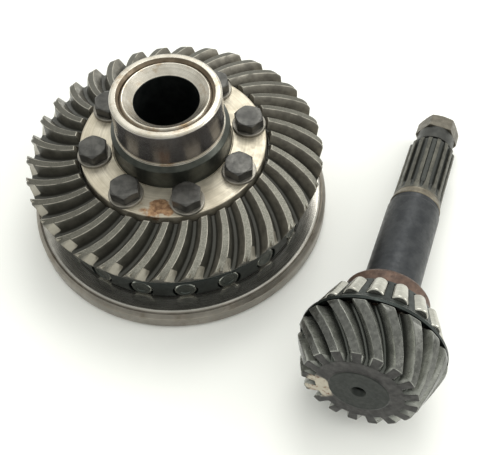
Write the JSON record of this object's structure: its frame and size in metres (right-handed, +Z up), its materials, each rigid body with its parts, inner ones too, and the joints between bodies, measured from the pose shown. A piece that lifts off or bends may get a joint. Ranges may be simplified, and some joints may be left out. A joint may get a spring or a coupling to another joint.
{
  "type": "bevel gear pair",
  "caption": "Spiral bevel crown wheel on a flanged hub and roller thrust bearing, with its splined pinion shaft and roller bearing lying beside it.",
  "frame": {"origin": "centre of the thrust housing washer's bottom face, on the crown wheel's axis", "axes": "+Z up along the crown wheel's axis, towards the hub; +X to the right of the view, towards the pinion"},
  "size_m": [0.3138, 0.2959, 0.1148],
  "materials": {
    "gear_steel": "oily dark gear steel, worn flanks",
    "machined_steel": "turned, bright, lightly stained",
    "ring_steel": "ground and polished",
    "race_steel": "ground bearing steel",
    "dark_cage": "dark pressed cage, oily",
    "dark_roller": "polished roller",
    "bright_roller": "polished roller",
    "bolt_steel": "blackened hexagon heads",
    "washer_steel": "dull steel",
    "dark_steel": "oily dark steel",
    "rusted_steel": "lightly rusted ring"
  },
  "bodies": {
    "base": {"thrust_housing_washer": "race_steel"},
    "thrust_roller_set": {"thrust_cage": "dark_cage", "thrust_roller_1": "dark_roller", "thrust_roller_2": "dark_roller", "thrust_roller_3": "dark_roller", "thrust_roller_4": "dark_roller", "thrust_roller_5": "dark_roller", "thrust_roller_6": "dark_roller", "thrust_roller_7": "dark_roller", "thrust_roller_8": "dark_roller", "thrust_roller_9": "dark_roller", "thrust_roller_10": "dark_roller", "thrust_roller_11": "dark_roller", "thrust_roller_12": "dark_roller", "thrust_roller_13": "dark_roller", "thrust_roller_14": "dark_roller", "thrust_roller_15": "dark_roller", "thrust_roller_16": "dark_roller", "thrust_roller_17": "dark_roller", "thrust_roller_18": "dark_roller", "thrust_roller_19": "dark_roller"},
    "crown": {"thrust_shaft_washer": "race_steel", "crown_wheel": "gear_steel", "crown_hub": "machined_steel", "hub_bearing_inner_ring": "ring_steel", "flange_bolts": "bolt_steel", "flange_washers": "washer_steel"},
    "pinion_shaft": {"pinion": "gear_steel", "pinion_bearing_cone": "rusted_steel", "pinion_collar": "dark_steel", "pinion_nut": "bolt_steel"},
    "pinion_roller_set": {"pinion_bearing_cage": "dark_cage", "pinion_roller_1": "bright_roller", "pinion_roller_2": "bright_roller", "pinion_roller_3": "bright_roller", "pinion_roller_4": "bright_roller", "pinion_roller_5": "bright_roller", "pinion_roller_6": "bright_roller", "pinion_roller_7": "bright_roller", "pinion_roller_8": "bright_roller", "pinion_roller_9": "bright_roller", "pinion_roller_10": "bright_roller", "pinion_roller_11": "bright_roller", "pinion_roller_12": "bright_roller", "pinion_roller_13": "bright_roller", "pinion_roller_14": "bright_roller", "pinion_roller_15": "bright_roller", "pinion_roller_16": "bright_roller"}
  },
  "joints": [
    {"name": "crown_spin", "type": "hinge", "parent": "base", "child": "crown", "pos_m": [0, 0, 0.05], "axis": [0, 0, 1], "continuous": true},
    {"name": "thrust_cage_spin", "type": "hinge", "parent": "base", "child": "thrust_roller_set", "pos_m": [0, 0, 0.022], "axis": [0, 0, 1], "continuous": true},
    {"name": "pinion_spin", "type": "hinge", "parent": "base", "child": "pinion_shaft", "pos_m": [0.13984, -0.09525, 0.03743], "axis": [0.3682, 0.9183, -0.1452], "continuous": true},
    {"name": "pinion_cage_spin", "type": "hinge", "parent": "pinion_shaft", "child": "pinion_roller_set", "pos_m": [0.12474, -0.1329, 0.04338], "axis": [0.3682, 0.9183, -0.1452], "continuous": true}
  ],
  "couplings": [
    {"joint": "thrust_cage_spin", "follows": "crown_spin", "ratio": 0.496},
    {"joint": "pinion_spin", "follows": "crown_spin", "ratio": 2}
  ]
}
